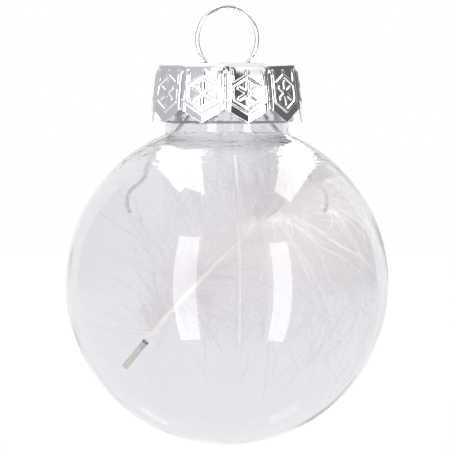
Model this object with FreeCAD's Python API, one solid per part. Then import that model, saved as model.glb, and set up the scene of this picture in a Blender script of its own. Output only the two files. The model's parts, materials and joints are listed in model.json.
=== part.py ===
import FreeCAD, Part
import math
import os

# A clear hanging ball with one white feather inside. Millimetres, +Z up, front towards -Y.
# The origin is the hanging point: the inside of the ring's top, on the ball's axis.

Vector = FreeCAD.Vector
X_AXIS = Vector(1, 0, 0)
Y_AXIS = Vector(0, 1, 0)
Z_AXIS = Vector(0, 0, 1)
ORIGIN = Vector(0, 0, 0)

# ---- driving dimensions: the ball -------------------------------------------------------------
BALL_DIAMETER = 80.0
WALL = 0.8
NECK_RADIUS = 15.2            # outside of the narrow neck that joins the ball
NECK_SHOWN = 2.0              # neck between the petals' tips and the start of the shoulder's rounding
COLLAR_THICKNESS = 1.3        # the collar that the cap sits over stands out from the neck this much
SHOULDER_BLEND = 1.5          # rounding where the neck meets the ball

# ---- driving dimensions: the cap --------------------------------------------------------------
CAP_HEIGHT = 14.7             # top plate to the petals' tips
CAP_SHEET = 0.3               # pressed sheet thickness
CAP_COLLAR_GAP = 0.2          # collar to the inside of a petal, just under the rounded rim
CAP_FLARE = 7.2               # degrees that the petals lean outwards
CAP_ROUNDING = 1.3            # height of the rounded rim
PETAL_COUNT = 10
FIRST_PETAL_ANGLE = 16.5      # first petal's centre, degrees from the front towards +X
PETAL_POINT_HEIGHT = 3.5      # height of the V at a petal's lower end
GROOVE_WIDTH = 1.0            # pressed groove between two petals
GROOVE_DEPTH = 0.8
MOUTH_CLEARANCE = 0.05        # lip of the neck under the top plate
COLLAR_TOP_DROP = 1.9         # collar starts this far under the top plate's underside
COLLAR_FOOT_ABOVE_TIPS = 0.1  # collar ends this far above the petals' tips

# embossing on each petal, measured on the petal's face
EMBOSS_HEIGHT = 0.3
EMBOSS_WIDTH = 0.9
HEXAGON_WIDTH = 8.1           # across the two upright sides
HEXAGON_HEIGHT = 8.6          # point to point
HEXAGON_CENTRE_DROP = 7.4     # hexagon's centre under the top plate
STEM_TOP_DROP = 2.0           # upper ends of the three upright ridges under the top plate
STAR_ARM = 2.6

# ---- driving dimensions: ring, clip and hanging joint -------------------------------------------
RING_WIRE = 1.07
RING_HALF_WIDTH = 7.39        # wire's centre-line
RING_HALF_HEIGHT = 7.99
RING_END_INSET = 0.39         # top and bottom arcs' radius is this much under the half width
RING_OVERLAP = 5.0            # length over which the two cut ends lie side by side
RING_END_GAP = 0.05
SWING_LIMIT = 40.0            # degrees each way
CLIP_WIRE = 1.0
HOOK_CLEARANCE = 0.08         # ring wire inside the clip's hook
HOOK_PLATE_GAP = 0.23         # top of the clip's hook under the top plate
HOLE_CLEARANCE = 0.25         # ring wire in the cap's holes
HOLE_CORNER = 0.5             # corner radius of the two punched holes

# the clip's wavy leg, from the hook outwards
LEG_START_DROP = 2.45         # the two legs part this far under the ring's lowest point
# in the neck: share of the bore's radius, height over the shoulder's start
LEG_IN_NECK = [(0.667, 3.3), (0.924, -1.4)]
# in the ball: outwards and up from its centre, as shares of its inner radius
LEG_IN_BALL = [
    (0.449, 0.860), (0.508, 0.730), (0.515, 0.672),
    (0.622, 0.578), (0.634, 0.500), (0.613, 0.447),
]
LEG_BEND_SHARE = 0.42         # share of the shorter neighbouring run that each bend uses

# ---- driving dimensions: the feather ------------------------------------------------------------
# the shaft's line inside the ball, from the ball's centre, as shares of its inner radius
SHAFT_BASE_SHARE = Vector(-0.513, 0.056, -0.370)
SHAFT_MIDDLE_SHARE = Vector(0.092, 0.092, 0.365)
SHAFT_TIP_SHARE = Vector(0.653, 0.138, 0.676)
SHAFT_BASE_DIAMETER = 1.2
SHAFT_TIP_DIAMETER = 0.35
SHAFT_SECTIONS = 12
CALAMUS_LENGTH = 8.6
CALAMUS_WALL = 0.25
CALAMUS_MOUTH_WALL = 0.16     # thinner where the shaft stands in it
CALAMUS_FIT = 0.04
CALAMUS_HOLD = 2.0            # the shaft's foot stands this far inside the quill's end
DOWN_RADIUS = 25.5
DOWN_THICKNESS = 6.0
DOWN_CLIP_GAP = 0.8           # between the clip's back leg and the front of the down
DOWN_SHAFT_GAP = 0.1          # between the shaft and the soft solids beside it
DOWN_WALL_GAP = 1.0           # between the soft solids and the ball's wall
DOWN_CENTRE_SHARE = 0.56      # along the shaft, where the down is widest

# ---- values that follow from the sizes above ----------------------------------------------------
BALL_RADIUS = BALL_DIAMETER / 2
INNER_RADIUS = BALL_RADIUS - WALL
NECK_BORE = NECK_RADIUS - WALL
RING_END_RADIUS = RING_HALF_WIDTH - RING_END_INSET
RING_CENTRE = Vector(0, 0, RING_WIRE / 2 - RING_HALF_HEIGHT)
PIVOT = RING_CENTRE - Vector(0, 0, RING_HALF_HEIGHT)
HOOK_RADIUS = RING_WIRE / 2 + HOOK_CLEARANCE + CLIP_WIRE / 2
PLATE_UNDERSIDE = PIVOT.z + HOOK_RADIUS + CLIP_WIRE / 2 + HOOK_PLATE_GAP
CAP_TOP = PLATE_UNDERSIDE + CAP_SHEET
CAP_TIPS = CAP_TOP - CAP_HEIGHT
COLLAR_RADIUS = NECK_RADIUS + COLLAR_THICKNESS
CAP_RIM_APOTHEM = COLLAR_RADIUS + CAP_COLLAR_GAP + CAP_SHEET
COLLAR_FOOT = CAP_TIPS + COLLAR_FOOT_ABOVE_TIPS
SHOULDER_START = COLLAR_FOOT - NECK_SHOWN
SHOULDER_RISE = math.sqrt((BALL_RADIUS + SHOULDER_BLEND) ** 2 - (NECK_RADIUS + SHOULDER_BLEND) ** 2)
BALL_CENTRE = Vector(0, 0, SHOULDER_START - SHOULDER_RISE)
LEG_ROUTE = (
    [(0.0, PIVOT.z - LEG_START_DROP)]
    + [(share * NECK_BORE, SHOULDER_START + height) for share, height in LEG_IN_NECK]
    + [(out * INNER_RADIUS, BALL_CENTRE.z + up * INNER_RADIUS) for out, up in LEG_IN_BALL]
)
SHAFT_BASE = BALL_CENTRE + SHAFT_BASE_SHARE * INNER_RADIUS
SHAFT_MIDDLE = BALL_CENTRE + SHAFT_MIDDLE_SHARE * INNER_RADIUS
SHAFT_TIP = BALL_CENTRE + SHAFT_TIP_SHARE * INNER_RADIUS
CALAMUS_DIAMETER = SHAFT_BASE_DIAMETER + 2 * (CALAMUS_FIT + CALAMUS_MOUTH_WALL)
DOWN_FRONT = HOOK_RADIUS + CLIP_WIRE / 2 + DOWN_CLIP_GAP
PETAL_STEP = 360.0 / PETAL_COUNT


def profile_face(edges):
    return Part.Face(Part.Wire(edges))


def revolve_half(edges):
    """Turns a closed half outline in the XZ plane round the Z axis."""
    return profile_face(edges).revolve(ORIGIN, Z_AXIS, 360)


def at(radius, z):
    return Vector(radius, 0, z)


def chain(points):
    return [Part.LineSegment(a, b).toShape() for a, b in zip(points, points[1:])]


# ---- ball shell: one clear blow-moulded wall with an open neck --------------------------------
def ball_profile(sphere_radius, neck_radius, top, blend):
    """Half outline of a ball with a neck: axis, sphere arc, blend, neck wall, top, back to the axis."""
    blend_radial = neck_radius + blend
    reach = sphere_radius + blend
    blend_z = BALL_CENTRE.z + math.sqrt(reach ** 2 - blend_radial ** 2)
    centre = at(blend_radial, blend_z)
    towards = (BALL_CENTRE - centre).normalize()
    on_sphere = centre + towards * blend
    on_neck = at(neck_radius, blend_z)
    between = centre + (towards - X_AXIS).normalize() * blend
    side = BALL_CENTRE + at(sphere_radius, 0)
    bottom = BALL_CENTRE - Vector(0, 0, sphere_radius)
    return [
        Part.Arc(bottom, BALL_CENTRE + at(sphere_radius * math.cos(-0.8), sphere_radius * math.sin(-0.8)),
                 side).toShape(),
        Part.Arc(side, BALL_CENTRE + at(sphere_radius * math.cos(0.5), sphere_radius * math.sin(0.5)),
                 on_sphere).toShape(),
        Part.Arc(on_sphere, between, on_neck).toShape(),
    ] + chain([on_neck, at(neck_radius, top), at(0, top), bottom])


def ball_shell():
    lip = PLATE_UNDERSIDE - MOUTH_CLEARANCE
    past_lip = lip + WALL
    outside = revolve_half(ball_profile(BALL_RADIUS, NECK_RADIUS, lip, SHOULDER_BLEND))
    inside = revolve_half(ball_profile(INNER_RADIUS, NECK_BORE, past_lip, SHOULDER_BLEND + WALL))
    collar_top = PLATE_UNDERSIDE - COLLAR_TOP_DROP
    collar = Part.makeCylinder(COLLAR_RADIUS, collar_top - COLLAR_FOOT, Vector(0, 0, COLLAR_FOOT))
    ends = [e for e in collar.Edges if e.Curve.TypeId == "Part::GeomCircle"]
    collar = collar.makeFillet(COLLAR_THICKNESS / 3, ends)
    return outside.fuse(collar).cut(inside).removeSplitter()


# ---- crown cap: thin pressed sheet, ten flared petals ------------------------------------------
def around(shape, angle):
    """Turns a shape made at the front (-Y) towards +X by an angle in degrees."""
    turned = shape.copy()
    turned.rotate(ORIGIN, Z_AXIS, angle)
    return turned


def crown_section(apothem, z, inset):
    """Closed outline at one height: flat petals with a V groove between neighbours."""
    half_petal = (apothem + inset) * math.tan(math.radians(PETAL_STEP / 2)) - GROOVE_WIDTH / 2
    groove_radius = (apothem + inset) / math.cos(math.radians(PETAL_STEP / 2)) - GROOVE_DEPTH - inset
    points = []
    for k in range(PETAL_COUNT):
        angle = math.radians(FIRST_PETAL_ANGLE + k * PETAL_STEP)
        out = Vector(math.sin(angle), -math.cos(angle), 0)
        along = Vector(math.cos(angle), math.sin(angle), 0)
        next_groove = angle + math.radians(PETAL_STEP / 2)
        points.append(out * apothem - along * half_petal)
        points.append(out * apothem + along * half_petal)
        points.append(Vector(math.sin(next_groove), -math.cos(next_groove), 0) * groove_radius)
    points = [p + Vector(0, 0, z) for p in points]
    return Part.makePolygon(points + points[:1])


def crown_solid(inset, top, foot):
    """Ruled solid of the crown's outer shape, or of its hollow when inset is the sheet thickness."""
    slope = math.tan(math.radians(CAP_FLARE))
    round_foot = CAP_TOP - CAP_ROUNDING
    sections = []
    for share in (0.0, 0.5, 0.8660254, 1.0):
        # quarter-round rim, followed by the straight flare
        drop = CAP_ROUNDING * (1 - math.sqrt(1 - share ** 2))
        pull_in = CAP_ROUNDING * (1 - share)
        z = top - drop * (top - round_foot) / CAP_ROUNDING
        sections.append(crown_section(CAP_RIM_APOTHEM - pull_in - inset, z, inset))
    apothem_at_foot = CAP_RIM_APOTHEM + slope * (round_foot - foot) - inset
    sections.append(crown_section(apothem_at_foot, foot, inset))
    return Part.makeLoft(sections, True, True)


def notch_wedge():
    """Removes the sheet between two V points, at the groove facing the front."""
    reach = (CAP_RIM_APOTHEM + CAP_HEIGHT) * math.sin(math.radians(PETAL_STEP / 2))
    tip_share = (CAP_RIM_APOTHEM + CAP_HEIGHT * math.tan(math.radians(CAP_FLARE)))
    tip_offset = tip_share * math.sin(math.radians(PETAL_STEP / 2))
    fall = PETAL_POINT_HEIGHT * reach / tip_offset
    apex = Vector(0, 0, CAP_TIPS + PETAL_POINT_HEIGHT)
    left = Vector(-reach, 0, apex.z - fall)
    right = Vector(reach, 0, apex.z - fall)
    low_left = Vector(-reach, 0, apex.z - fall - CAP_HEIGHT)
    low_right = Vector(reach, 0, apex.z - fall - CAP_HEIGHT)
    face = profile_face(chain([apex, left, low_left, low_right, right, apex]))
    face.translate(Vector(0, -CAP_RIM_APOTHEM / 2, 0))
    return face.extrude(Vector(0, -CAP_RIM_APOTHEM, 0))


def ridge(u0, v0, u1, v1):
    """A raised strip with round ends between two points of the petal's face (u across, v up)."""
    start, end = Vector(u0, 0, v0), Vector(u1, 0, v1)
    run = end - start
    depth = EMBOSS_HEIGHT + CAP_SHEET / 2
    half = EMBOSS_WIDTH / 2
    bar = Part.makeBox(run.Length, depth, EMBOSS_WIDTH, Vector(0, -depth, -half))
    bar.rotate(ORIGIN, Y_AXIS, -math.degrees(math.atan2(run.z, run.x)))
    bar.translate(start)
    caps = [Part.makeCylinder(half, depth, p, -Y_AXIS) for p in (start, end)]
    return bar.fuse(caps)


def petal_emblem():
    """Hexagon, three upright stems and a six-armed star, standing on a face at y = 0."""
    half_w, half_h = HEXAGON_WIDTH / 2, HEXAGON_HEIGHT / 2
    side_v = half_h - half_w / math.sqrt(3)
    stem_v = HEXAGON_CENTRE_DROP - STEM_TOP_DROP
    corners = [(0, half_h), (half_w, side_v), (half_w, -side_v),
               (0, -half_h), (-half_w, -side_v), (-half_w, side_v)]
    strips = [ridge(*a, *b) for a, b in zip(corners, corners[1:] + corners[:1])]
    strips += [ridge(u, v, u, stem_v) for u, v in (corners[5], corners[0], corners[1])]
    frame = strips[0].fuse(strips[1:]).removeSplitter()
    arms = []
    for angle in (30, 90, 150):
        u, v = STAR_ARM * math.cos(math.radians(angle)), STAR_ARM * math.sin(math.radians(angle))
        arms.append(ridge(-u, -v, u, v))
    star = arms[0].fuse(arms[1:]).removeSplitter()
    return [frame, star]


def ring_hole():
    """Slot for one strand of the ring, long enough for the whole swing, at the +X strand."""
    swing = math.radians(SWING_LIMIT)
    rise = CAP_TOP - CAP_SHEET / 2 - PIVOT.z
    strand_upright = strand_offset(rise - RING_HALF_HEIGHT)
    strand_swung = strand_offset(rise / math.cos(swing) - RING_HALF_HEIGHT)
    # the strands pass the plate at about 45 degrees, which widens their section by its root of two
    spread = RING_WIRE / 2 * math.sqrt(2) + CAP_SHEET / 2 + HOLE_CLEARANCE
    inner, outer = strand_upright - spread, strand_swung + spread
    half_length = (rise * math.tan(swing) + RING_WIRE / 2 / math.cos(swing) + CAP_SHEET / 2
                   + HOLE_CLEARANCE)
    slot = Part.makeBox(outer - inner, 2 * half_length, CAP_SHEET * 3,
                        Vector(inner, -half_length, PLATE_UNDERSIDE - CAP_SHEET))
    upright = [e for e in slot.Edges if abs(e.tangentAt(e.FirstParameter).z) > 0.5]
    return slot.makeFillet(HOLE_CORNER, upright)


def strand_offset(height):
    """Distance from the axis to the ring's centre-line at a height above the ring's centre."""
    return RING_HALF_WIDTH * math.sqrt(1 - (height / RING_HALF_HEIGHT) ** 2)


def crown_cap():
    foot = CAP_TIPS - CAP_SHEET
    cap = crown_solid(0, CAP_TOP, foot)
    cap = cap.cut(crown_solid(CAP_SHEET, PLATE_UNDERSIDE, foot - CAP_SHEET))
    first_groove = FIRST_PETAL_ANGLE + PETAL_STEP / 2
    wedge = notch_wedge()
    cap = cap.cut([around(wedge, first_groove + k * PETAL_STEP) for k in range(PETAL_COUNT)])
    slope = math.tan(math.radians(CAP_FLARE))
    centre_out = CAP_RIM_APOTHEM + slope * (HEXAGON_CENTRE_DROP - CAP_ROUNDING)
    emblems = []
    for solid in petal_emblem():
        leaning = solid.copy()
        leaning.rotate(ORIGIN, X_AXIS, -CAP_FLARE)
        leaning.translate(Vector(0, -centre_out, CAP_TOP - HEXAGON_CENTRE_DROP))
        emblems += [around(leaning, FIRST_PETAL_ANGLE + k * PETAL_STEP) for k in range(PETAL_COUNT)]
    cap = cap.fuse(emblems)
    hole = ring_hole()
    return cap.cut([hole, around(hole, 180)]).removeSplitter()


# ---- hanging ring: a slightly oval split ring of round wire --------------------------------------
def half_ring(side):
    """Half of the ring from its lowest point up one side and past the top, side = +1 or -1."""
    drop = RING_HALF_HEIGHT - RING_END_RADIUS
    gain = RING_END_RADIUS - RING_HALF_WIDTH
    side_radius = (drop ** 2 + RING_HALF_WIDTH ** 2 - RING_END_RADIUS ** 2) / (-2 * gain)
    side_centre = Vector(-side * (side_radius - RING_HALF_WIDTH), 0, 0)
    low_centre, high_centre = Vector(0, 0, -drop), Vector(0, 0, drop)

    def on(centre, radius, angle):
        return centre + Vector(side * math.cos(angle), 0, math.sin(angle)) * radius

    joint = math.asin(drop / (side_radius - RING_END_RADIUS))
    past_top = math.pi / 2 + RING_OVERLAP / 2 / RING_END_RADIUS
    low, high = -math.pi / 2, math.pi / 2
    arcs = [
        (low_centre, RING_END_RADIUS, low, -joint),
        (side_centre, side_radius, -joint, joint),
        (high_centre, RING_END_RADIUS, joint, high),
        (high_centre, RING_END_RADIUS, high, past_top),
    ]
    path = Part.Wire([
        Part.Arc(on(c, r, a), on(c, r, (a + b) / 2), on(c, r, b)).toShape() for c, r, a, b in arcs
    ])
    circle = Part.Wire(Part.makeCircle(RING_WIRE / 2, on(low_centre, RING_END_RADIUS, low), X_AXIS))
    half = path.makePipeShell([circle], True, False)
    half.translate(RING_CENTRE)
    lean = math.degrees(math.asin((RING_WIRE + RING_END_GAP) / 2 / (2 * RING_HALF_HEIGHT)))
    half.rotate(PIVOT, X_AXIS, -side * lean)
    return half


def hanging_ring():
    return half_ring(1).fuse(half_ring(-1)).removeSplitter()


# ---- spring clip: one wire, a hook over the ring's lower arc and two wavy legs -------------------
def rounded_edges(points):
    """Straight runs joined by tangent arcs, each as large as its two runs allow."""
    edges, here = [], points[0]
    for before, corner, after in zip(points, points[1:], points[2:]):
        back, ahead = before - corner, after - corner
        reach = LEG_BEND_SHARE * min(back.Length, ahead.Length)
        back.normalize()
        ahead.normalize()
        turn = math.pi - back.getAngle(ahead)
        radius = reach / math.tan(turn / 2)
        start, end = corner + back * reach, corner + ahead * reach
        inwards = (back + ahead).normalize()
        middle = corner + inwards * (math.hypot(radius, reach) - radius)
        edges.append(Part.LineSegment(here, start).toShape())
        edges.append(Part.Arc(start, middle, end).toShape())
        here = end
    edges.append(Part.LineSegment(here, points[-1]).toShape())
    return edges


def spring_clip():
    # the hook turns over the ring's wire in the YZ plane; each leg stays in its own XZ plane
    front = [Vector(-r, -HOOK_RADIUS, z) for r, z in LEG_ROUTE]
    back = [Vector(r, HOOK_RADIUS, z) for r, z in LEG_ROUTE]
    hook_front = PIVOT + Vector(0, -HOOK_RADIUS, 0)
    hook_back = PIVOT + Vector(0, HOOK_RADIUS, 0)
    front_leg = rounded_edges(front[::-1] + [hook_front])
    hook = [Part.Arc(hook_front, PIVOT + Vector(0, 0, HOOK_RADIUS), hook_back).toShape()]
    back_leg = rounded_edges([hook_back] + back)
    path = Part.Wire(front_leg + hook + back_leg)
    start, towards = front[-1], front[-2] - front[-1]
    circle = Part.Wire(Part.makeCircle(CLIP_WIRE / 2, start, towards))
    clip = path.makePipeShell([circle], True, False)
    area = math.pi * (CLIP_WIRE / 2) ** 2
    print("clip wire length %.1f, volume %.1f against %.1f"
          % (path.Length, clip.Volume, area * path.Length))
    return clip


# ---- feather: hollow quill end, solid shaft and two soft sides of down --------------------------
def shaft_point(share):
    """Point of the gently curved shaft, 0 at its foot and 1 at its tip."""
    rest = 1 - share
    return SHAFT_BASE * rest ** 2 + SHAFT_MIDDLE * (2 * rest * share) + SHAFT_TIP * share ** 2


def shaft_direction(share):
    return ((SHAFT_MIDDLE - SHAFT_BASE) * (1 - share) + (SHAFT_TIP - SHAFT_MIDDLE) * share).normalize()


def shaft_solid(extra_radius):
    """The tapered shaft, or the corridor that it needs when extra_radius is a clearance."""
    foot = shaft_point(0) - shaft_direction(0) * CALAMUS_HOLD
    base_radius = SHAFT_BASE_DIAMETER / 2 + extra_radius
    tip_radius = SHAFT_TIP_DIAMETER / 2 + extra_radius
    rings = [Part.Wire(Part.makeCircle(base_radius, foot, shaft_direction(0)))]
    for k in range(SHAFT_SECTIONS + 1):
        share = k / SHAFT_SECTIONS
        radius = base_radius + (tip_radius - base_radius) * share
        rings.append(Part.Wire(Part.makeCircle(radius, shaft_point(share), shaft_direction(share))))
    return Part.makeLoft(rings, True, True)


def feather_shaft():
    return shaft_solid(0)


def feather_calamus():
    """Translucent hollow end of the quill, open where the shaft stands in it."""
    mouth, towards = shaft_point(0), shaft_direction(0)
    foot = mouth - towards * CALAMUS_LENGTH
    tube = Part.makeCylinder(CALAMUS_DIAMETER / 2, CALAMUS_LENGTH, foot, towards)
    socket = Part.makeCylinder(SHAFT_BASE_DIAMETER / 2 + CALAMUS_FIT, CALAMUS_HOLD + CALAMUS_FIT,
                               mouth - towards * (CALAMUS_HOLD + CALAMUS_FIT), towards)
    hollow_length = CALAMUS_LENGTH - CALAMUS_HOLD - CALAMUS_WALL
    hollow = Part.makeCylinder(CALAMUS_DIAMETER / 2 - CALAMUS_WALL, hollow_length,
                               foot + towards * CALAMUS_WALL, towards)
    return tube.cut([socket, hollow]).removeSplitter()


def down_half(side):
    """Soft side of the feather: half of a thick disc beside the shaft, side = +1 above or -1 below."""
    centre = shaft_point(DOWN_CENTRE_SHARE)
    along = shaft_direction(DOWN_CENTRE_SHARE)
    disc = Part.makeCylinder(DOWN_RADIUS, DOWN_THICKNESS, Vector(centre.x, DOWN_FRONT, centre.z), Y_AXIS)
    disc = disc.common(Part.makeSphere(INNER_RADIUS - DOWN_WALL_GAP, BALL_CENTRE))
    run = Vector(along.x, 0, along.z).normalize()
    across = Vector(-run.z, 0, run.x) * side
    corner = Vector(centre.x, 0, centre.z) + across * DOWN_SHAFT_GAP - run * 2 * DOWN_RADIUS
    outline = [corner, corner + run * 4 * DOWN_RADIUS,
               corner + run * 4 * DOWN_RADIUS + across * 2 * DOWN_RADIUS,
               corner + across * 2 * DOWN_RADIUS, corner]
    keep = profile_face(chain(outline)).extrude(Vector(0, 2 * BALL_RADIUS, 0))
    half = disc.common(keep).cut(shaft_solid(DOWN_SHAFT_GAP))
    # the bowed shaft's corridor can leave a thin offcut, so the largest piece is kept
    return max(half.Solids, key=lambda solid: solid.Volume)


def main():
    nodes = {
        "ball_shell": ball_shell(),
        "crown_cap": crown_cap(),
        "hanging_ring": hanging_ring(),
        "spring_clip": spring_clip(),
        "feather_shaft": feather_shaft(),
        "feather_calamus": feather_calamus(),
        "down_upper": down_half(1),
        "down_lower": down_half(-1),
    }
    os.makedirs("parts", exist_ok=True)
    for name, shape in nodes.items():
        solids = shape.Solids
        print("%-16s solids %d valid %s volume %.2f" % (name, len(solids), shape.isValid(), shape.Volume))
        shape = solids[0] if len(solids) == 1 else shape
        shape.exportStep("parts/%s.step" % name)


main()
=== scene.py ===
# %% [markdown]
# A clear ball ornament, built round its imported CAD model.
# The real object is a thin clear ball with a white plume inside, closed by a crown cap of pressed
# silver sheet. A split ring goes through two holes in the cap, and a spring wire hooks onto the ring
# inside and spreads under the ball's shoulder. The CAD model fixes every size and joint.
# This file gives each piece its real surface: fine meshes first, materials after, then the studio.

# %% Load the frame
import json
import math

import bpy
import numpy as np
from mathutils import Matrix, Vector


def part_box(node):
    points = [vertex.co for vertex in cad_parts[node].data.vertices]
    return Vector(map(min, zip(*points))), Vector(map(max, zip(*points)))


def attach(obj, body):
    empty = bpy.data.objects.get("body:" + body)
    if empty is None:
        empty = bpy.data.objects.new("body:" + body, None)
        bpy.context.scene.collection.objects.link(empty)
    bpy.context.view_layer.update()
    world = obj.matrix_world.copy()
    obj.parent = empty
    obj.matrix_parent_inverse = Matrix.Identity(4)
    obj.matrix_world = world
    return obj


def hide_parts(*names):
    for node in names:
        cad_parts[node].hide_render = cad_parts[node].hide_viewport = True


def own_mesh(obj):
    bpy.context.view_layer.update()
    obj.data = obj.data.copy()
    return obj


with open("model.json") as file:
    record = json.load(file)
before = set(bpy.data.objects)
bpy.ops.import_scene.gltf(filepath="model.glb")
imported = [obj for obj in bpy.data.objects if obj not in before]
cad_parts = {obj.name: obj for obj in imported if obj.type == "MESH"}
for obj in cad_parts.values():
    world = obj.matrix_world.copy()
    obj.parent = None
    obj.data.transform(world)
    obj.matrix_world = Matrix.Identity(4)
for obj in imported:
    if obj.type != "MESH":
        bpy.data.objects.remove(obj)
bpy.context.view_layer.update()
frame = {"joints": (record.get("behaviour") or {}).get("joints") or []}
MM = 0.001

# %% [markdown]
# Positions come from the frame. The ball's node gives its radius and centre, the cap's node gives the
# plate and the petals' tips, and the swing joint gives the lowest point of the ring's centre-line.
# The sizes that a box can't give, such as a sheet's thickness, repeat the CAD model's own values.

# %% Places and sizes from the frame
shell_low, shell_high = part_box("ball_shell")
cap_low, cap_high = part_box("crown_cap")
ring_low, ring_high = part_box("hanging_ring")
joints = {joint["name"]: joint for joint in frame["joints"]}

BALL_R = (shell_high.x - shell_low.x) / 2
BALL_C = np.array([0.0, 0.0, shell_low.z + BALL_R])
LIP_Z = shell_high.z
PLATE_Z = cap_high.z
TIPS_Z = cap_low.z
PIVOT = np.array(joints["ring_swing"]["pos_m"])
WALL = 0.8 * MM
NECK_R = 15.2 * MM
COLLAR_R = NECK_R + 1.3 * MM
INNER_R = BALL_R - WALL
NECK_BORE = NECK_R - WALL
SHOULDER_BLEND = 1.5 * MM
SHOULDER_Z = BALL_C[2] + math.sqrt((BALL_R + SHOULDER_BLEND) ** 2 - (NECK_R + SHOULDER_BLEND) ** 2)
RNG_SEED = 20
print("ball radius %.1f mm, centre %.1f mm down" % (BALL_R / MM, BALL_C[2] / MM))


# %% [markdown]
# Meshes are made from arrays of points and faces. Grids of quads come up again and again: a ball is a
# grid bent round an axis, a wire is a grid bent round a line. One helper numbers a grid's faces and
# another turns arrays into a smooth-shaded Blender object.

# %% Mesh helpers
def make_mesh(name, points, faces, smooth=True):
    mesh = bpy.data.meshes.new(name)
    mesh.from_pydata([tuple(p) for p in points], [], [tuple(f) for f in faces])
    mesh.update()
    mesh.polygons.foreach_set("use_smooth", [smooth] * len(mesh.polygons))
    piece = bpy.data.objects.new(name, mesh)
    bpy.context.scene.collection.objects.link(piece)
    return piece


def grid_faces(rows, columns, close_columns=False):
    """Quads of a rows x columns grid of points, closed round across the columns when asked."""
    column_count = columns if close_columns else columns - 1
    r, c = np.meshgrid(np.arange(rows - 1), np.arange(column_count), indexing="ij")
    c2 = (c + 1) % columns
    corners = [r * columns + c, r * columns + c2, (r + 1) * columns + c2, (r + 1) * columns + c]
    return np.stack(corners, -1).reshape(-1, 4)


def unit(v):
    v = np.asarray(v, float)
    return v / np.maximum(np.linalg.norm(v, axis=-1, keepdims=True), 1e-12)


def smooth_step(low, high, x):
    t = np.clip((x - low) / (high - low), 0, 1)
    return t * t * (3 - 2 * t)


def triangle_count(piece):
    piece.data.calc_loop_triangles()
    return len(piece.data.loop_triangles)


# %% [markdown]
# A wire is a circle carried along a line. The circle's axes have to turn with the line without
# twisting, so each new pair of axes is the last pair with the part along the new direction removed.
# The ends are real cut ends: a small bevel and a flat face, because the eye looks for them.

# %% Tube helper
def tube(name, path, radii, sides=20, bevel=0.25):
    """Tube along points, with one radius for each point and slightly bevelled flat ends."""
    path, radii = np.asarray(path, float), np.asarray(radii, float)
    tangents = unit(np.gradient(path, axis=0))
    start = np.cross(tangents[0], [0.0, 0.0, 1.0])
    if np.linalg.norm(start) < 0.1:
        start = np.cross(tangents[0], [0.0, 1.0, 0.0])
    side = unit(start)
    axes = []
    for t in tangents:
        side = unit(side - t * np.dot(side, t))
        axes.append((side, np.cross(t, side)))
    turn = np.linspace(0, 2 * math.pi, sides, endpoint=False)
    rings = []

    def ring(index, radius, shift=0.0):
        a, b = axes[index]
        centre = path[index] + tangents[index] * shift
        rings.append(centre + radius * (np.outer(np.cos(turn), a) + np.outer(np.sin(turn), b)))

    ring(0, radii[0] * (1 - bevel), -radii[0] * bevel * 0.5)
    for index in range(len(path)):
        ring(index, radii[index])
    ring(len(path) - 1, radii[-1] * (1 - bevel), radii[-1] * bevel * 0.5)
    points = np.concatenate(rings)
    faces = [tuple(f) for f in grid_faces(len(rings), sides, close_columns=True)]
    last = (len(rings) - 1) * sides
    faces.append(tuple(range(sides - 1, -1, -1)))
    faces.append(tuple(range(last, last + sides)))
    return make_mesh(name, points, faces)


def along_edges(route, step):
    """Points spaced evenly along a route of many short edges."""
    route = np.asarray(route, float)
    lengths = np.concatenate([[0], np.cumsum(np.linalg.norm(np.diff(route, axis=0), axis=1))])
    count = max(3, int(round(lengths[-1] / step)) + 1)
    wanted = np.linspace(0, lengths[-1], count)
    return np.stack([np.interp(wanted, lengths, route[:, k]) for k in range(3)], -1)


# %% [markdown]
# Shader maths reads best as Python expressions. A Socket wraps one output of a node, and the
# arithmetic operators add a Math node each. Colours and vectors never pass through a Math node,
# because it would turn them grey: they go through Mix and Vector Math.

# %% Shader helpers
def colour(r, g, b):
    return (r, g, b, 1.0)


class Socket:
    def __init__(self, tree, output):
        self.tree, self.output = tree, output

    def math(self, operation, *others):
        values = dict(enumerate((self, *others)))
        return self.tree.node("ShaderNodeMath", {"operation": operation}, values)

    def __add__(self, other): return self.math("ADD", other)
    def __radd__(self, other): return self.math("ADD", other)
    def __sub__(self, other): return self.math("SUBTRACT", other)
    def __mul__(self, other): return self.math("MULTIPLY", other)
    def __rmul__(self, other): return self.math("MULTIPLY", other)

    def __rsub__(self, other):
        return self.tree.node("ShaderNodeMath", {"operation": "SUBTRACT"}, {0: other, 1: self})


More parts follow.
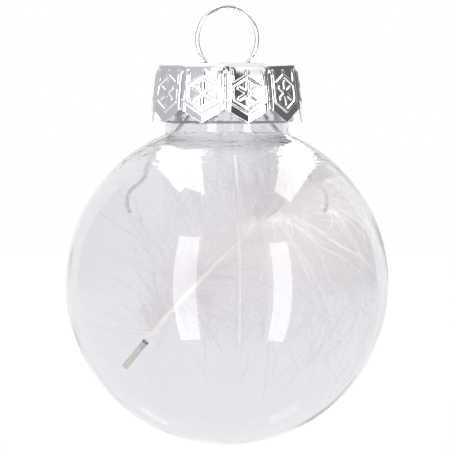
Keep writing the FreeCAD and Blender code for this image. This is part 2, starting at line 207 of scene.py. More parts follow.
class Material:
    """A node material with one method that adds any node."""

    def __init__(self, name, **principled):
        self.material = bpy.data.materials.new(name)
        self.material.use_nodes = True
        self.nodes = self.material.node_tree.nodes
        self.shader = self.nodes["Principled BSDF"]
        self.set(self.shader, principled)

    def set(self, node, values):
        for key, value in values.items():
            name = key.replace("_", " ") if isinstance(key, str) else key
            if isinstance(value, Socket):
                self.material.node_tree.links.new(value.output, node.inputs[name])
            else:
                node.inputs[name].default_value = value

    def node(self, kind, settings=None, values=None, output=0):
        made = self.nodes.new(kind)
        for key, value in (settings or {}).items():
            setattr(made, key, value)
        self.set(made, values or {})
        return Socket(self, made.outputs[output])

    def place(self, stretch=(1, 1, 1)):
        """Position on the piece in metres, stretched to make streaks."""
        position = self.node("ShaderNodeTexCoord", output=3)
        return self.node("ShaderNodeVectorMath", {"operation": "MULTIPLY"}, {0: position, 1: stretch})

    def noise(self, scale, detail=2.0, rough=0.5, stretch=(1, 1, 1), distortion=0.0):
        return self.node("ShaderNodeTexNoise", {}, {
            "Vector": self.place(stretch), "Scale": scale, "Detail": detail,
            "Roughness": rough, "Distortion": distortion})

    def mix(self, factor, a, b):
        """Goes from colour a to colour b as the factor goes from 0 to 1."""
        a, b = (v if isinstance(v, Socket) else colour(*v) for v in (a, b))
        return self.node("ShaderNodeMix", {"data_type": "RGBA"}, {0: factor, 6: a, 7: b}, output=2)

    def coordinate(self, axis):
        """One coordinate of the position on the piece: 0, 1 or 2 for X, Y or Z."""
        return self.node("ShaderNodeSeparateXYZ", {}, {0: self.place()}, output=axis)

    def smooth_range(self, value, low, high, start=0.0, end=1.0):
        """Goes smoothly from start to end as the value goes from low to high."""
        return self.node("ShaderNodeMapRange", {"interpolation_type": "SMOOTHSTEP"}, {
            "Value": value, "From Min": low, "From Max": high, "To Min": start, "To Max": end})

    def bump(self, height, strength, distance):
        """A Bump node on the shader's Normal."""
        bumped = self.node("ShaderNodeBump", {}, {
            "Height": height, "Strength": strength, "Distance": distance})
        self.set(self.shader, {"Normal": bumped})

    def give(self, piece):
        piece.data.materials.clear()
        piece.data.materials.append(self.material)


# %% [markdown]
# The shell is one blown wall with an inner and an outer face, 0.8 mm apart. A thin single skin with a
# see-through shader would be cheaper, but only two real faces bend and double the light at the rim
# and the neck as the real wall does. The outline is turned round the axis on a grid that is finer near
# the two mould seams, so that each seam can be a real ridge a tenth of a millimetre high.

# %% Shell outline
def arc(centre, radius, start, end, steps):
    angles = np.radians(np.linspace(start, end, steps))
    return np.stack([centre[0] + radius * np.cos(angles), centre[1] + radius * np.sin(angles)], -1)


def ball_outline(sphere, neck, blend, steps):
    """Half outline from the bottom up to where the neck starts: sphere arc, then the blend."""
    blend_z = BALL_C[2] + math.sqrt((sphere + blend) ** 2 - (neck + blend) ** 2)
    rise = math.degrees(math.atan2(blend_z - BALL_C[2], neck + blend))
    sphere_arc = arc((0, BALL_C[2]), sphere, -90, rise, steps)
    blend_arc = arc((neck + blend, blend_z), blend, 180 + rise, 180, 8)
    return np.concatenate([sphere_arc, blend_arc[1:]])


def shell_outline():
    """Closed half outline, and how many of its points lie outside, up to the top of the lip."""
    collar_foot = TIPS_Z + 0.1 * MM
    collar_top = LIP_Z - 1.85 * MM
    edge = 0.45 * MM
    outer = ball_outline(BALL_R, NECK_R, SHOULDER_BLEND, 120)
    foot = arc((COLLAR_R - edge, collar_foot + edge), edge, -90, 0, 6)
    top = arc((COLLAR_R - edge, collar_top - edge), edge, 0, 90, 6)
    lip_out = arc((NECK_R - WALL / 2, LIP_Z - WALL / 2), WALL / 2, 0, 180, 13)
    inner = ball_outline(INNER_R, NECK_R - WALL, 2.3 * MM, 110)[::-1]
    undercut = np.array([[NECK_R, collar_foot]])
    waist = np.linspace(outer[-1], undercut[0], 8)[1:]
    wall_up = np.linspace(foot[-1], top[0], 12)[1:-1]
    bore = np.linspace([NECK_R - WALL, LIP_Z - WALL / 2], inner[0], 24)[1:-1]
    outside = np.concatenate([outer, waist, foot, wall_up, top, [[NECK_R, collar_top]]])
    outside_count = len(outside) + len(lip_out) // 2 + 1
    return np.concatenate([outside, lip_out, bore, inner]), outside_count


SEAM_ANGLE = math.radians(4.4)
SEAM_HEIGHTS = (0.07 * MM, 0.15 * MM)  # low on the ball, and near the neck
SEAM_WIDTH = 0.16 * MM


def seam_angles():
    """Angles round the axis from the front towards +X, finer at the two seams."""
    coarse = np.linspace(0, 2 * math.pi, 150, endpoint=False)
    near = np.radians(np.array([-0.8, -0.5, -0.33, -0.22, -0.12, 0.0, 0.12, 0.22, 0.33, 0.5, 0.8]))
    fine = np.concatenate([SEAM_ANGLE + near, SEAM_ANGLE + math.pi + near])
    gap = [min(abs((a - s + math.pi) % (2 * math.pi) - math.pi) for s in fine) for a in coarse]
    return np.sort(np.concatenate([coarse[np.array(gap) > math.radians(0.5)], fine]) % (2 * math.pi))


def clear_shell():
    outline, outside_count = shell_outline()
    angles = seam_angles()
    ring_points = []
    for index, (radius, z) in enumerate(outline):
        turned = np.minimum(abs(angles - SEAM_ANGLE), abs(angles - SEAM_ANGLE - math.pi))
        away = turned * max(radius, 1e-6)
        tall = SEAM_HEIGHTS[0] + (SEAM_HEIGHTS[1] - SEAM_HEIGHTS[0]) * smooth_step(
            BALL_C[2] + 0.3 * BALL_R, BALL_C[2] + 0.6 * BALL_R, z)
        lift = tall * np.exp(-(away / SEAM_WIDTH) ** 2) if index < outside_count else 0 * angles
        lift = lift * smooth_step(2 * MM, 8 * MM, radius)
        r = radius + lift
        ring_points.append(np.stack([r * np.sin(angles), -r * np.cos(angles), np.full(len(angles), z)], -1))
    points = np.concatenate(ring_points[1:-1])
    count = len(angles)
    faces = [tuple(f) for f in grid_faces(len(ring_points) - 2, count, close_columns=True)]
    bottom, inside = len(points), len(points) + 1
    points = np.concatenate([points, [[0, 0, outline[0][1]], [0, 0, outline[-1][1]]]])
    last = (len(ring_points) - 3) * count
    faces += [(bottom, (k + 1) % count, k) for k in range(count)]
    faces += [(inside, last + k, last + (k + 1) % count) for k in range(count)]
    return make_mesh("clear_shell", points, faces)


shell = clear_shell()
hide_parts("ball_shell")
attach(shell, "ball")
print("shell", triangle_count(shell), "triangles")

# %% [markdown]
# The cap is one disc of thin bright sheet, drawn down over a ten-sided die. Each petal is nearly flat
# and carries a pressed hexagon, three stems and a six-armed star, and a narrow groove runs between
# petals. The die's relief is a height over the sheet, so one function gives the height at any place
# on a petal, and a fine grid is pushed out by it. Both faces get the relief, as in real pressed sheet.

# %% Cap sizes
PETALS = 10
PETAL_STEP = 2 * math.pi / PETALS
FIRST_PETAL = math.radians(16.5)
SHEET = 0.3 * MM
RIM_APOTHEM = COLLAR_R + 0.2 * MM + SHEET
FLARE = math.tan(math.radians(7.2))
RIM_ROUND = 1.3 * MM
POINT_HEIGHT = 3.5 * MM
HEX_HALF_W, HEX_HALF_H = 4.05 * MM, 4.3 * MM
HEX_Z = PLATE_Z - 7.4 * MM
STEM_TOP_Z = PLATE_Z - 2.0 * MM
STAR_ARM = 2.6 * MM
RIDGE_W, RIDGE_H = 0.9 * MM, 0.3 * MM
BAND_W, BAND_DROP = 1.9 * MM, 0.20 * MM
CREASE_W, CREASE_DEPTH = 0.16 * MM, 0.10 * MM
GROOVE_W, GROOVE_DEPTH = 0.42 * MM, 0.62 * MM
FOLD_W, FOLD_H, FOLD_FROM_GROOVE = 0.40 * MM, 0.12 * MM, 0.95 * MM
BELLY, BELLY_SPREAD, CORNER_DROP = 0.16 * MM, 0.06 * MM, 0.16 * MM
LEAN_SPREAD, LEAN_LENGTH, TWIST_SPREAD = 0.10 * MM, 12 * MM, 0.20 * MM
RIM_SHARE, RIM_ROWS = 0.09, 8


# %% Relief of one petal
def segment_distance(u, z, start, end):
    """Distance from each place on a petal to a straight line between two of its points."""
    du, dz = end[0] - start[0], end[1] - start[1]
    t = np.clip(((u - start[0]) * du + (z - start[1]) * dz) / (du * du + dz * dz), 0, 1)
    return np.hypot(u - start[0] - t * du, z - start[1] - t * dz)


def emblem_lines():
    side = HEX_HALF_H - HEX_HALF_W / math.sqrt(3)
    corners = [(0, HEX_HALF_H), (HEX_HALF_W, side), (HEX_HALF_W, -side),
               (0, -HEX_HALF_H), (-HEX_HALF_W, -side), (-HEX_HALF_W, side)]
    corners = [(u, HEX_Z + v) for u, v in corners]
    lines = list(zip(corners, corners[1:] + corners[:1]))
    lines += [(corners[k], (corners[k][0], STEM_TOP_Z)) for k in (5, 0, 1)]
    for degrees in (30, 90, 150):
        du, dv = STAR_ARM * math.cos(math.radians(degrees)), STAR_ARM * math.sin(math.radians(degrees))
        lines.append(((-du, HEX_Z - dv), (du, HEX_Z + dv)))
    return lines


def petal_edge_z(u, half_width):
    """Height of the pointed lower edge: lowest in the middle of the petal."""
    return TIPS_Z + POINT_HEIGHT * np.abs(u) / half_width


def relief(u, z, half_width):
    """Height of the pressed pattern over the sheet."""
    nearest = np.min([segment_distance(u, z, a, b) for a, b in emblem_lines()], axis=0)
    ridge = RIDGE_H * (1 - smooth_step(RIDGE_W * 0.34, RIDGE_W * 0.60, nearest))
    # a band along the pointed edge, turned slightly inwards below a crisp line
    slope = POINT_HEIGHT / half_width
    from_edge = (z - petal_edge_z(u, half_width)) / np.hypot(1, slope)
    band = -BAND_DROP * (1 - np.clip(from_edge / BAND_W, 0, 1))
    crease = -CREASE_DEPTH * np.exp(-((from_edge - BAND_W) / CREASE_W) ** 2)
    return ridge + band + crease


# %% [markdown]
# The petals' outline comes from the same numbers as the CAD cap: a quarter-round rim, then a straight
# flare. Each petal bellies out by a sixth of a millimetre, and leans and twists a little by itself,
# because ten pressed petals are never quite alike, and that gives each one its own reflection.

# %% Cap surface
def petal_wobble():
    rng = np.random.default_rng(RNG_SEED)
    wobble = rng.uniform(-1, 1, (PETALS, 3))
    wobble[0] = (0.0, 0.6, 1.0)
    return wobble


def below_rim(z):
    return np.maximum(PLATE_Z - RIM_ROUND - z, 0)


def plain_apothem(z):
    """Distance from the axis to the middle of a petal at a height, before any relief."""
    in_rim = np.clip((z - (PLATE_Z - RIM_ROUND)) / RIM_ROUND, 0, 1)
    return RIM_APOTHEM + FLARE * below_rim(z) - RIM_ROUND * (1 - np.sqrt(1 - in_rim ** 2))


def crown_point(petal, u, z, half_width, inset, wobble):
    """Point on the sheet for places u across and z up one petal."""
    fade = smooth_step(0, 3 * MM, PLATE_Z - RIM_ROUND * 0.3 - z)
    share = u / half_width
    lean, belly, twist = wobble[petal]
    out = relief(u, z, half_width) * fade
    out = out + fade * (BELLY + BELLY_SPREAD * belly) * (1 - share ** 2)
    out = out + fade * (LEAN_SPREAD * lean * below_rim(z) / LEAN_LENGTH + TWIST_SPREAD * twist * share)
    from_groove = (1 - np.abs(share)) * half_width
    groove = GROOVE_DEPTH * np.exp(-(from_groove / GROOVE_W) ** 2)
    fold = FOLD_H * np.exp(-((from_groove - FOLD_FROM_GROOVE) / FOLD_W) ** 2)
    out = out + fade * (fold - groove) - CORNER_DROP * (1 - fade) * share ** 4
    r_out = plain_apothem(z) - inset + out
    angle = FIRST_PETAL + petal * PETAL_STEP
    normal = np.array([math.sin(angle), -math.cos(angle)])
    across = np.array([math.cos(angle), math.sin(angle)])
    return np.stack([normal[0] * r_out + across[0] * u, normal[1] * r_out + across[1] * u, z], -1)


def crown_skirt(inset, columns, rows):
    """Grid of points of the whole skirt: rows down from the rim, columns round all petals."""
    share = np.linspace(-1, 1, columns, endpoint=False)
    share = np.sin(share * math.pi / 2) * 0.35 + share * 0.65
    down = np.concatenate([np.linspace(0, RIM_SHARE, RIM_ROWS, endpoint=False),
                           RIM_SHARE + (1 - RIM_SHARE) * np.linspace(0, 1, rows)])
    s, d = np.meshgrid(share, down)
    z = PLATE_Z + (TIPS_Z - PLATE_Z) * d
    for _ in range(3):
        half = (plain_apothem(z) - inset) * math.tan(PETAL_STEP / 2)
        foot = petal_edge_z(s * half, half)
        z = PLATE_Z + (foot - PLATE_Z) * d
    wobble = petal_wobble()
    sheets = [crown_point(petal, s * half, z, half, inset, wobble) for petal in range(PETALS)]
    return np.concatenate(sheets, axis=1)


def top_plate_rows(rim_row, inset):
    """Rows of points from the rim inwards to the flat top, with a shallow pressed ring."""
    rows = []
    middle = rim_row[:, :2]
    for share, drop in ((0.985, 0.0), (0.95, 0.02), (0.90, 0.16), (0.86, 0.30), (0.82, 0.34)):
        rows.append(np.column_stack([middle * share, np.full(len(middle), PLATE_Z - inset - drop * MM)]))
    return rows


# %% [markdown]
# The flat top has two punched slots that the ring's strands pass through. A grid can't have holes, so
# the flat is cut out of a plain outline by a constrained triangulation: the outer loop, and the two
# slot loops, become edges that the triangles keep.

# %% Slots and flat top
from mathutils.geometry import delaunay_2d_cdt

SLOT_IN, SLOT_OUT = 3.75 * MM, 6.65 * MM
SLOT_HALF = 2.75 * MM
SLOT_CORNER = 0.5 * MM


def slot_loop(side):
    """Rounded rectangle for one slot, side = +1 or -1 along X."""
    points = []
    centres = [(SLOT_OUT - SLOT_CORNER, SLOT_HALF - SLOT_CORNER, 0),
               (SLOT_IN + SLOT_CORNER, SLOT_HALF - SLOT_CORNER, 90),
               (SLOT_IN + SLOT_CORNER, -SLOT_HALF + SLOT_CORNER, 180),
               (SLOT_OUT - SLOT_CORNER, -SLOT_HALF + SLOT_CORNER, 270)]
    for x, y, start in centres:
        for degrees in np.linspace(start, start + 90, 6):
            a = math.radians(degrees)
            points.append((side * (x + SLOT_CORNER * math.cos(a)), y + SLOT_CORNER * math.sin(a)))
    return points


def flat_top(outer_loop):
    """Triangles between the outer loop and the two slots."""
    loops = [[tuple(p) for p in outer_loop], slot_loop(1), slot_loop(-1)]
    points = [Vector(p) for loop in loops for p in loop]
    edges, first = [], 0
    for loop in loops:
        n = len(loop)
        edges += [(first + k, first + (k + 1) % n) for k in range(n)]
        first += n
    verts, _, faces, *_ = delaunay_2d_cdt(points, edges, [], 1, 1e-9)
    kept = []
    for face in faces:
        centre = sum((verts[i] for i in face), Vector((0, 0))) / len(face)
        if not (SLOT_IN < abs(centre.x) < SLOT_OUT and abs(centre.y) < SLOT_HALF):
            kept.append(tuple(face))
    return np.array([(v.x, v.y) for v in verts]), kept, len(outer_loop)


def crown_sheet(inset, columns, rows):
    """One face of the sheet as points and faces, and the index lists of its open edges."""
    skirt = crown_skirt(inset, columns, rows)
    plate = top_plate_rows(skirt[0], inset)
    grid = np.array(plate[::-1] + list(skirt))
    count = grid.shape[1]
    points = grid.reshape(-1, 3)
    faces = [tuple(f) for f in grid_faces(len(grid), count, close_columns=True)]
    flat, triangles, outer = flat_top(grid[0][:, :2])
    flat_z = grid[0][0, 2]
    shift = len(points)
    extra = np.column_stack([flat[outer:], np.full(len(flat) - outer, flat_z)])
    points = np.concatenate([points, extra])
    faces += [tuple(i if i < outer else i - outer + shift for i in t) for t in triangles]
    slots = list(range(shift, len(points)))
    edge = list(range((len(grid) - 1) * count, len(grid) * count))
    return points, faces, edge, slots


def skin_walls(edge, slots, first_inner):
    """Quads that join the sheet's outer face to its inner face along the foot and round each slot."""
    n, half = len(edge), len(slots) // 2
    quads = [(edge[k], edge[(k + 1) % n], first_inner + (k + 1) % n, first_inner + k)
             for k in range(n)]
    for loop, turned in ((slots[:half], False), (slots[half:], True)):
        inner = first_inner + n + (half if turned else 0)
        for k in range(half):
            after = (k + 1) % half
            quad = (loop[k], inner + k, inner + after, loop[after])
            quads.append(quad[::-1] if turned else quad)
    return quads


def crown_outside():
    points, faces, edge, slots = crown_sheet(0.0, 82, 90)
    inwards = 1 - SHEET / RIM_APOTHEM
    low = points[edge] * [inwards, inwards, 1]
    under = points[slots] - [0, 0, SHEET]
    faces = [f[::-1] for f in faces] + skin_walls(edge, slots, len(points))
    return make_mesh("crown_cap_outside", np.concatenate([points, low, under]), faces)


def crown_inside():
    points, faces, _, _ = crown_sheet(SHEET, 30, 40)
    return make_mesh("crown_cap_inside", points, faces)


cap = crown_outside()
cap_inside = crown_inside()
for piece in (cap, cap_inside):
    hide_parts("crown_cap")
    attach(piece, "cap")
    print(piece.name, triangle_count(piece), "triangles")

# %% [markdown]
# The ring is a loop of bright steel wire, slightly taller than wide. Its two cut ends lie side by side
# at the top: each half leans a degree or two to its own side, so the ends pass each other like the
# turns of a key ring. It is drawn as arcs, with the same radii as the CAD ring, and given a finer wire.

# %% Hanging ring
RING_WIRE = 1.07 * MM
RING_HALF_W = (ring_high.x - ring_low.x - RING_WIRE) / 2
RING_HALF_H = -PIVOT[2] / 2 + RING_WIRE / 4
RING_END_R = 7.0 * MM
RING_OVERLAP = 5.0 * MM
RING_C = np.array([0.0, 0.0, RING_WIRE / 2 - RING_HALF_H])


def half_ring_path(side):
    drop = RING_HALF_H - RING_END_R
    side_r = (drop ** 2 + RING_HALF_W ** 2 - RING_END_R ** 2) / (2 * (RING_HALF_W - RING_END_R))
    joint = math.degrees(math.asin(drop / (side_r - RING_END_R)))
    past_top = 90 + math.degrees(RING_OVERLAP / 2 / RING_END_R)
    low = arc((0, -drop), RING_END_R, -90, -joint, 40)
    middle = arc((RING_HALF_W - side_r, 0), side_r, -joint, joint, 20)
    high = arc((0, drop), RING_END_R, joint, past_top, 50)
    flat = np.concatenate([low, middle[1:], high[1:]])
    path = RING_C + np.column_stack([side * flat[:, 0], np.zeros(len(flat)), flat[:, 1]])
    lean = side * math.asin((RING_WIRE + 0.05 * MM) / 2 / (2 * RING_HALF_H))
    height = path[:, 2] - PIVOT[2]
    path[:, 1] = height * math.sin(lean)
    path[:, 2] = PIVOT[2] + height * math.cos(lean)
    return path


def hanging_ring():
    right, left = half_ring_path(1), half_ring_path(-1)
    path = along_edges(np.concatenate([left[::-1], right[1:]]), 0.22 * MM)
    return tube("hanging_ring_wire", path, np.full(len(path), RING_WIRE / 2), sides=24)


ring = hanging_ring()
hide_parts("hanging_ring")
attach(ring, "ring")
print("ring half width %.2f mm" % (RING_HALF_W / MM))

# %% [markdown]
# The spring clip is one wire: a hook over the ring's lower arc, and two legs bent in waves that press
# outwards under the ball's shoulder. The route repeats the CAD route, with tangent arcs at the bends.
# When the ball is pulled off, the legs squeeze together through the neck.

# %% Spring clip
CLIP_WIRE = 1.0 * MM
HOOK_R = RING_WIRE / 2 + 0.08 * MM + CLIP_WIRE / 2
LEG_ROUTE = [(0.0, PIVOT[2] - 2.45 * MM)]
for share, height in ((0.667, 3.3), (0.924, -1.4)):
    LEG_ROUTE.append((share * NECK_BORE, SHOULDER_Z + height * MM))
for outwards, up in ((0.449, 0.860), (0.508, 0.730), (0.515, 0.672),
                     (0.622, 0.578), (0.634, 0.500), (0.613, 0.447)):
    LEG_ROUTE.append((outwards * INNER_R, BALL_C[2] + up * INNER_R))
LEG_BEND_SHARE = 0.42


def rounded_route(points, share):
    """Points along straight runs joined by bends that use a share of the shorter run."""
    points = [np.array(p, float) for p in points]
    route = [points[0]]
    for before, corner, after in zip(points, points[1:], points[2:]):
        back, ahead = before - corner, after - corner
        reach = share * min(np.linalg.norm(back), np.linalg.norm(ahead))
        start, end = corner + unit(back) * reach, corner + unit(ahead) * reach
        for t in np.linspace(0, 1, 10):
            route.append(start * (1 - t) ** 2 + corner * 2 * t * (1 - t) + end * t ** 2)
    route.append(points[-1])
    return route


def spring_clip():
    front = [(-r, -HOOK_R, z) for r, z in LEG_ROUTE]
    back = [(r, HOOK_R, z) for r, z in LEG_ROUTE]
    hook_front, hook_back = PIVOT + [0, -HOOK_R, 0], PIVOT + [0, HOOK_R, 0]
    hook = [PIVOT + HOOK_R * np.array([0, -math.cos(a), math.sin(a)])
            for a in np.linspace(0, math.pi, 24)]
    route = rounded_route(front[::-1] + [hook_front], LEG_BEND_SHARE) + hook[1:-1]
    route += rounded_route([hook_back] + back, LEG_BEND_SHARE)
    path = along_edges(route, 0.3 * MM)
    return tube("spring_clip_wire", path, np.full(len(path), CLIP_WIRE / 2), sides=16)


clip = spring_clip()
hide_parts("spring_clip")
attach(clip, "cap")
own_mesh(clip)
print("clip reaches %.1f mm from the axis" % (max(r for r, _ in LEG_ROUTE) / MM))

# %% [markdown]
# The plume's shaft is a solid cream rod that thins to a hair. It carries the down. Its lower end stands
# in the calamus, the hollow translucent end of the quill.

# %% Feather shaft and quill end
SHAFT = BALL_C + INNER_R * np.array([
    (-0.513, 0.056, -0.370), (0.092, 0.092, 0.365), (0.653, 0.138, 0.676)])
SHAFT_BASE_D, SHAFT_TIP_D = 1.2 * MM, 0.35 * MM
CALAMUS_LENGTH, CALAMUS_HOLD = 8.6 * MM, 2.0 * MM


def shaft_at(t):
    t = np.asarray(t, float)[..., None]
    return SHAFT[0] * (1 - t) ** 2 + SHAFT[1] * 2 * t * (1 - t) + SHAFT[2] * t ** 2


def shaft_way(t):
    t = np.asarray(t, float)[..., None]
    return unit((SHAFT[1] - SHAFT[0]) * (1 - t) + (SHAFT[2] - SHAFT[1]) * t)


def feather_shaft():
    rng = np.random.default_rng(RNG_SEED + 1)
    t = np.linspace(0, 1, 150)
    path = shaft_at(t)
    foot = path[0] - shaft_way(0.0) * CALAMUS_HOLD
    path = np.concatenate([[foot], path])
    t = np.concatenate([[0], t])
    radii = (SHAFT_BASE_D + (SHAFT_TIP_D - SHAFT_BASE_D) * t) / 2
    # knots where barbs leave, and a slow wander of the thickness
    places = np.arange(0, len(t), 3)
    knots = np.interp(np.arange(len(t)), places, rng.uniform(-1, 1, len(t) // 3 + 1))
    return tube("feather_quill", path, radii * (1 + 0.05 * knots), sides=14)


def feather_calamus():
    """Translucent end: outer wall from the rounded foot to the mouth, and back down the socket."""
    foot_curve = [(0.0, 0.0), (0.35, 0.02), (0.62, 0.06), (0.76, 0.16), (0.80, 0.34)]
    wall = [(0.78, 3.0), (0.80, 7.4), (0.83, 8.3), (0.80, 8.6)]
    mouth = [(0.66, 8.62), (0.64, 7.9), (0.0, 7.8)]
    outline = [(r * MM, h * MM) for r, h in foot_curve + wall + mouth]
    towards = shaft_way(0.0)
    foot = shaft_at(0.0) - towards * CALAMUS_LENGTH
    side = unit(np.cross(towards, [0, 1, 0]))
    other = np.cross(towards, side)
    turn = np.linspace(0, 2 * math.pi, 32, endpoint=False)
    around = np.outer(np.cos(turn), side) + np.outer(np.sin(turn), other)
    rings = [foot + towards * h + max(r, 1e-6) * around for r, h in outline]
    faces = grid_faces(len(rings), 32, close_columns=True)
    return make_mesh("feather_quill_end", np.concatenate(rings), faces)


quill = feather_shaft()
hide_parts("feather_shaft")
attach(quill, "feather")
quill_end = feather_calamus()
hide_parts("feather_calamus")
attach(quill_end, "feather")
print("shaft", triangle_count(quill), "and quill end", triangle_count(quill_end), "triangles")

# %% [markdown]
# Down is the hard part. Each barb of a marabou plume is a limp thread three or four centimetres long,
# and along it stand hundreds of barbules so fine that they only show together, as a soft halo. Hair
# strands would render well but leave no mesh behind, so every barb here is a thin tapering strip and
# every barbule is one sliver of a triangle. A barb grows step by step from the shaft, bends a little at
# random, and slides along the wall when it meets it, as the real ones do inside the ball. Most of the
# down lies behind the shaft and behind the spring clip's legs. It also leaves room where the legs come
# to when the plume has made its full turn in the ball.

# %% Growing the barbs
REACH_R = INNER_R - 0.7 * MM
NECK_REACH = NECK_BORE - 1.2 * MM
NECK_FOOT_Z = BALL_C[2] + math.sqrt(REACH_R ** 2 - NECK_REACH ** 2)
CLIP_FOOT_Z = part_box("spring_clip")[0].z
BEHIND_CLIP = HOOK_R + CLIP_WIRE / 2 + 0.85 * MM
BEFORE_CLIP = HOOK_R - CLIP_WIRE / 2 - 0.35 * MM
FULL_TURN = math.radians(140)
LEG_ROOM = CLIP_WIRE / 2 + 0.75 * MM
DOWN_TOP_Z = LIP_Z - 7 * MM
STEP = 0.6 * MM
CURL_KEPT, CURL_NEW, BEND, SAG = 0.97, 0.24, 0.032, np.array([0, 0, -0.004])
KEEP_ON, SLIDE = 0.3, 0.7


def legs_after_turn():
    """Runs of both legs, where the turned plume will meet them, seen from the plume itself."""
    cosine, sine = math.cos(FULL_TURN), math.sin(FULL_TURN)
    back = np.array([[cosine, sine], [-sine, cosine]])
    runs = []
    for side in (-1, 1):
        line = np.array([(side * r, side * HOOK_R, z) for r, z in LEG_ROUTE[2:]])
        line[:, :2] = line[:, :2] @ back.T
        runs += list(zip(line, line[1:]))
    return runs


LEG_RUNS = legs_after_turn()


def clear_of_legs(points):
    """Pushes points straight away from each run of a leg until they have room."""
    for start, end in LEG_RUNS:
        along = np.clip((points - start) @ (end - start) / np.sum((end - start) ** 2), 0, 1)[:, None]
        away = points - (start + along * (end - start))
        distance = np.linalg.norm(away, axis=-1, keepdims=True)
        points = points + away / np.maximum(distance, 1e-9) * np.maximum(LEG_ROOM - distance, 0)
    return points


def keep_inside(points, behind=True):
    """Moves points back inside the wall, off the clip's legs, and behind or before the legs' plane."""
    points = clear_of_legs(points)
    room = np.maximum(CLIP_FOOT_Z - points[:, 2], 0)
    if behind:
        points[:, 1] = np.maximum(points[:, 1], BEHIND_CLIP - room)
    else:
        points[:, 1] = np.minimum(points[:, 1], BEFORE_CLIP + room)
    offset = points - BALL_C
    distance = np.linalg.norm(offset, axis=-1, keepdims=True)
    radial = np.hypot(points[:, 0], points[:, 1])
    in_neck = (points[:, 2] > NECK_FOOT_Z - 1 * MM) & (radial < NECK_REACH * 1.1)
    pushed = BALL_C + offset * np.minimum(1, REACH_R / np.maximum(distance, 1e-9))
    squeeze = np.minimum(1, NECK_REACH / np.maximum(radial, 1e-9))
    neck = points * np.stack([squeeze, squeeze, np.ones(len(points))], -1)
    neck[:, 2] = np.minimum(neck[:, 2], DOWN_TOP_Z)
    return np.where(in_neck[:, None], neck, pushed)


def in_locks(rng, number, width, lock=6, own=0.5):
    """Random numbers that the barbs of one lock nearly share, because damp or handled down clumps."""
    shared = rng.normal(0, 1, (number // lock + 1, width))
    return 0.94 * shared[np.arange(number) // lock] + rng.normal(0, own, (number, width))


def grow_barbs(rng, starts, directions, lengths, limpness, behind):
    """Grows all barbs at once. Returns an array of barb x step x 3 and each barb's step count."""
    heading, here, paths = unit(directions), starts, [starts]
    curl = in_locks(rng, *starts.shape)
    for _ in range(int(np.max(lengths) / STEP) + 1):
        curl = curl * CURL_KEPT + in_locks(rng, *starts.shape) * CURL_NEW
        heading = unit(heading + limpness[:, None] * (curl * BEND + SAG))
        moved = keep_inside(here + heading * STEP, behind)
        heading = unit(KEEP_ON * heading + SLIDE * unit(moved - here))
        paths.append(moved)
        here = moved
    return np.stack(paths, 1), np.maximum(6, (lengths / STEP).astype(int))


# %% [markdown]
# A strip and its barbules are made together. Barbules lean towards the barb's tip, get shorter near
# both ends, and stand out on all sides.

# %% Strips and barbules
BARBULE_STEP = 0.068 * MM
BARBULE_HALF_BASE = 0.016, 0.030


def barb_mesh(name, rng, paths, counts, strip_width, barbule_length, behind):
    points, faces, total = [], [], 0
    for path, count in zip(paths, counts):
        line = path[:count + 1]
        n = len(line)
        way = unit(np.gradient(line, axis=0))
        flat = unit(np.cross(way, unit(rng.normal(0, 1, 3))))
        width = strip_width * (0.3 + 0.7 * np.sqrt(np.linspace(1, 0.02, n)))[:, None]
        points += [line - flat * width / 2, line + flat * width / 2]
        faces.append(np.array([(k, k + n, k + n + 1, k + 1) for k in range(n - 1)]) + total)
        total += 2 * n
        if not barbule_length:
            continue
        m = max(4, int((n - 1) * STEP / BARBULE_STEP))
        along = (np.arange(m) + rng.uniform(0, 1, m)) / m
        low = np.minimum((along * (n - 1)).astype(int), n - 2)
        part = (along * (n - 1) - low)[:, None]
        root = line[low] * (1 - part) + line[low + 1] * part
        forward = way[low]
        side = unit(np.cross(forward, rng.normal(0, 1, (m, 3))))
        reach = 0.4 + 0.6 * np.sin(np.pi * (along * 0.85 + 0.1))
        reach = (barbule_length * reach * rng.uniform(0.5, 1.15, m))[:, None]
        tip = root + (side * 0.85 + forward * rng.uniform(0.3, 0.95, (m, 1))) * reach
        base = forward * rng.uniform(*BARBULE_HALF_BASE, (m, 1)) * MM
        points += [root - base, root + base, keep_inside(tip, behind)]
        faces.append(np.stack([np.arange(m), np.arange(m) + m, np.arange(m) + 2 * m], -1) + total)
        total += 3 * m
    faces = [tuple(f) for block in faces for f in block]
    return make_mesh(name, np.concatenate(points), faces, smooth=False)


def barbs_on_shaft(rng, number, shares, side, angle, spread, depth):
    """Starts and headings: side is +1 over the shaft and -1 under it, depth leans them backwards."""
    share = np.sort(rng.uniform(*shares, number))
    way = shaft_way(share)
    up = unit(np.cross([0.0, -1.0, 0.0], way)) * side
    fan = depth + 0.35 * in_locks(rng, number, 1)
    turn = np.radians(angle + spread * in_locks(rng, number, 1))
    out = up * np.cos(fan) + np.array([0.0, 1.0, 0.0]) * np.sin(fan)
    return shaft_at(share), way * np.cos(turn) + out * np.sin(turn)


def down_piece(name, node, seed, number, shares, side, angle, spread, lengths, depth=0.85, limp=0.8,
               strip=0.055, barbule=1.3, behind=True):
    rng = np.random.default_rng(seed)
    starts, headings = barbs_on_shaft(rng, number, shares, side, angle, spread, depth)
    length = rng.uniform(*lengths, number) * MM
    limpness = limp * rng.uniform(0.5, 1.5, number)
    paths, counts = grow_barbs(rng, starts, headings, length, limpness, behind)
    piece = barb_mesh(name, rng, paths, counts, strip * MM, barbule * MM, behind)
    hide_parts(node)
    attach(piece, "feather")
    print(name, triangle_count(piece), "triangles")
    return piece
